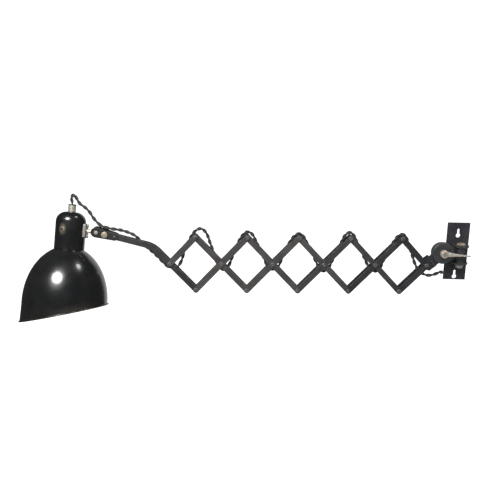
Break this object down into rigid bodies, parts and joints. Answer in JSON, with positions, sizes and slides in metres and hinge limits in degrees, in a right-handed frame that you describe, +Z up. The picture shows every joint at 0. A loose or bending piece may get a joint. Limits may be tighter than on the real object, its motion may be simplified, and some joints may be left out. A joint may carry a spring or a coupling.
{
  "type": "accordion wall lamp",
  "caption": "Wall lamp with a scissor arm on a hinged plate, a tilting clamp joint and a ball-jointed bell shade with a slanted mouth and a woven twisted lead",
  "frame": {"origin": "centre of the wall plate's back face, on the wall", "axes": "+Z up, +Y into the wall, +X to the right seen from the room; the arm reaches towards -X at rest"},
  "size_m": [0.8907, 0.2051, 0.2547],
  "materials": {
    "plate_steel": "dark worn enamel on flat steel",
    "nickel": "old nickel plate, dulled and spotted",
    "bright_nickel": "nickel plate with a warm tarnish",
    "arm_paint": "satin grey-black paint, worn at the edges",
    "joint_paint": "black paint on castings, rubbed through to brown at the corners",
    "dark_steel": "blackened rivets and nuts",
    "brass": "tarnished brass",
    "shade_enamel": "black stoving enamel, soft gloss",
    "black_bakelite": "black bakelite",
    "fibre": "brown pressed fibre",
    "braided_lead": "black braid over two twisted cores"
  },
  "bodies": {
    "wall_mount": {"wall_plate": "plate_steel", "hinge_lugs": "joint_paint", "lug_rivets": "dark_steel", "hinge_pin": "nickel", "hinge_nut": "nickel", "hinge_washers": "nickel"},
    "swivel": {"swivel_block": "joint_paint", "friction_washer": "fibre", "tilt_bolt": "bright_nickel", "lead_to_wall": "braided_lead"},
    "lever": {"clamp_lever": "bright_nickel"},
    "tilt": {"tilt_knuckle": "joint_paint", "rising_bars_5": "arm_paint", "pivot_rivets_5": "dark_steel", "lead_past_tilt": "braided_lead"},
    "falling_5": {"falling_bars_5": "arm_paint", "lead_under_middle_5": "braided_lead"},
    "rising_4": {"rising_bars_4": "arm_paint", "pivot_rivets_4": "dark_steel", "lead_over_top_5": "braided_lead"},
    "falling_4": {"falling_bars_4": "arm_paint", "lead_under_middle_4": "braided_lead"},
    "rising_3": {"rising_bars_3": "arm_paint", "pivot_rivets_3": "dark_steel", "lead_over_top_4": "braided_lead"},
    "falling_3": {"falling_bars_3": "arm_paint", "lead_under_middle_3": "braided_lead"},
    "rising_2": {"rising_bars_2": "arm_paint", "pivot_rivets_2": "dark_steel", "lead_over_top_3": "braided_lead"},
    "falling_2": {"falling_bars_2": "arm_paint", "lead_under_middle_2": "braided_lead"},
    "rising_1": {"rising_bars_1": "arm_paint", "pivot_rivets_1": "dark_steel", "lead_over_top_2": "braided_lead"},
    "falling_1": {"falling_bars_1": "arm_paint", "lead_under_middle_1": "braided_lead"},
    "rising_0": {"rising_bars_0": "arm_paint", "pivot_rivets_0": "dark_steel", "lead_over_top_1": "braided_lead"},
    "head_arm": {"head_arm": "arm_paint", "clamp_cheeks": "arm_paint", "clamp_screw": "brass", "clamp_nut": "dark_steel", "cheek_rivet": "dark_steel", "lead_under_middle_0": "braided_lead", "lead_at_ball": "braided_lead"},
    "ball": {"ball_stem": "bright_nickel"},
    "head": {"stem_bracket": "bright_nickel", "bracket_screws": "bright_nickel", "housing_cover": "shade_enamel", "cord_nipple": "brass", "nipple_collar": "black_bakelite", "lampholder_body": "black_bakelite", "lampholder_contacts": "brass", "shade_ring": "black_bakelite", "switch_bush": "bright_nickel", "shade": "shade_enamel", "lead_at_nipple": "braided_lead"},
    "switch": {"switch_spindle": "black_bakelite"}
  },
  "joints": [
    {"name": "swivel", "type": "hinge", "parent": "wall_mount", "child": "swivel", "pos_m": [0, -0.0285, 0], "axis": [0, 0, 1], "range_deg": [-2, 160], "deforming": ["lead_to_wall"]},
    {"name": "arm_tilt", "type": "hinge", "parent": "swivel", "child": "tilt", "pos_m": [-0.03741, -0.03112, 0.004], "axis": [0.0698, -0.9976, 0], "range_deg": [-60, 60], "deforming": ["lead_past_tilt"]},
    {"name": "clamp_lever_turn", "type": "hinge", "parent": "swivel", "child": "lever", "pos_m": [-0.03741, -0.03112, 0.004], "axis": [0.0698, -0.9976, 0], "range_deg": [-60, 60]},
    {"name": "scissor_extend", "type": "hinge", "parent": "tilt", "child": "falling_5", "pos_m": [-0.06833, -0.03328, -0.022], "axis": [0.0698, -0.9976, 0], "range_deg": [-38, 44], "deforming": ["lead_under_middle_5"]},
    {"name": "top_pivot_5", "type": "hinge", "parent": "falling_5", "child": "rising_4", "pos_m": [-0.11974, -0.03687, 0.03249], "axis": [0.0698, -0.9976, 0], "range_deg": [-44, 38], "deforming": ["lead_over_top_5"]},
    {"name": "middle_pivot_4", "type": "hinge", "parent": "rising_4", "child": "falling_4", "pos_m": [-0.17114, -0.04047, -0.022], "axis": [0.0698, -0.9976, 0], "range_deg": [-38, 44], "deforming": ["lead_under_middle_4"]},
    {"name": "top_pivot_4", "type": "hinge", "parent": "falling_4", "child": "rising_3", "pos_m": [-0.22255, -0.04406, 0.03249], "axis": [0.0698, -0.9976, 0], "range_deg": [-44, 38], "deforming": ["lead_over_top_4"]},
    {"name": "middle_pivot_3", "type": "hinge", "parent": "rising_3", "child": "falling_3", "pos_m": [-0.27396, -0.04766, -0.022], "axis": [0.0698, -0.9976, 0], "range_deg": [-38, 44], "deforming": ["lead_under_middle_3"]},
    {"name": "top_pivot_3", "type": "hinge", "parent": "falling_3", "child": "rising_2", "pos_m": [-0.32536, -0.05125, 0.03249], "axis": [0.0698, -0.9976, 0], "range_deg": [-44, 38], "deforming": ["lead_over_top_3"]},
    {"name": "middle_pivot_2", "type": "hinge", "parent": "rising_2", "child": "falling_2", "pos_m": [-0.37677, -0.05485, -0.022], "axis": [0.0698, -0.9976, 0], "range_deg": [-38, 44], "deforming": ["lead_under_middle_2"]},
    {"name": "top_pivot_2", "type": "hinge", "parent": "falling_2", "child": "rising_1", "pos_m": [-0.42817, -0.05844, 0.03249], "axis": [0.0698, -0.9976, 0], "range_deg": [-44, 38], "deforming": ["lead_over_top_2"]},
    {"name": "middle_pivot_1", "type": "hinge", "parent": "rising_1", "child": "falling_1", "pos_m": [-0.47958, -0.06204, -0.022], "axis": [0.0698, -0.9976, 0], "range_deg": [-38, 44], "deforming": ["lead_under_middle_1"]},
    {"name": "top_pivot_1", "type": "hinge", "parent": "falling_1", "child": "rising_0", "pos_m": [-0.53099, -0.06563, 0.03249], "axis": [0.0698, -0.9976, 0], "range_deg": [-44, 38], "deforming": ["lead_over_top_1"]},
    {"name": "middle_pivot_0", "type": "hinge", "parent": "rising_0", "child": "head_arm", "pos_m": [-0.58239, -0.06922, -0.022], "axis": [0.0698, -0.9976, 0], "range_deg": [-38, 44], "deforming": ["lead_under_middle_0"]},
    {"name": "head_tilt", "type": "hinge", "parent": "head_arm", "child": "ball", "pos_m": [-0.72652, -0.0793, 0.04128], "axis": [0.0698, -0.9976, 0], "range_deg": [-80, 38], "deforming": ["lead_at_ball"]},
    {"name": "head_roll", "type": "hinge", "parent": "ball", "child": "head", "pos_m": [-0.72652, -0.0793, 0.04128], "axis": [0.9957, 0.0696, -0.061], "range_deg": [-75, 85], "deforming": ["lead_at_nipple"]},
    {"name": "switch_turn", "type": "hinge", "parent": "head", "child": "switch", "pos_m": [-0.78313, -0.11141, 0.05215], "axis": [-0.1743, -0.9505, 0.2572], "range_deg": [0, 90]}
  ],
  "couplings": [
    {"joint": "top_pivot_5", "follows": "scissor_extend", "ratio": -1},
    {"joint": "middle_pivot_4", "follows": "scissor_extend", "ratio": 1},
    {"joint": "top_pivot_4", "follows": "scissor_extend", "ratio": -1},
    {"joint": "middle_pivot_3", "follows": "scissor_extend", "ratio": 1},
    {"joint": "top_pivot_3", "follows": "scissor_extend", "ratio": -1},
    {"joint": "middle_pivot_2", "follows": "scissor_extend", "ratio": 1},
    {"joint": "top_pivot_2", "follows": "scissor_extend", "ratio": -1},
    {"joint": "middle_pivot_1", "follows": "scissor_extend", "ratio": 1},
    {"joint": "top_pivot_1", "follows": "scissor_extend", "ratio": -1},
    {"joint": "middle_pivot_0", "follows": "scissor_extend", "ratio": 1}
  ]
}
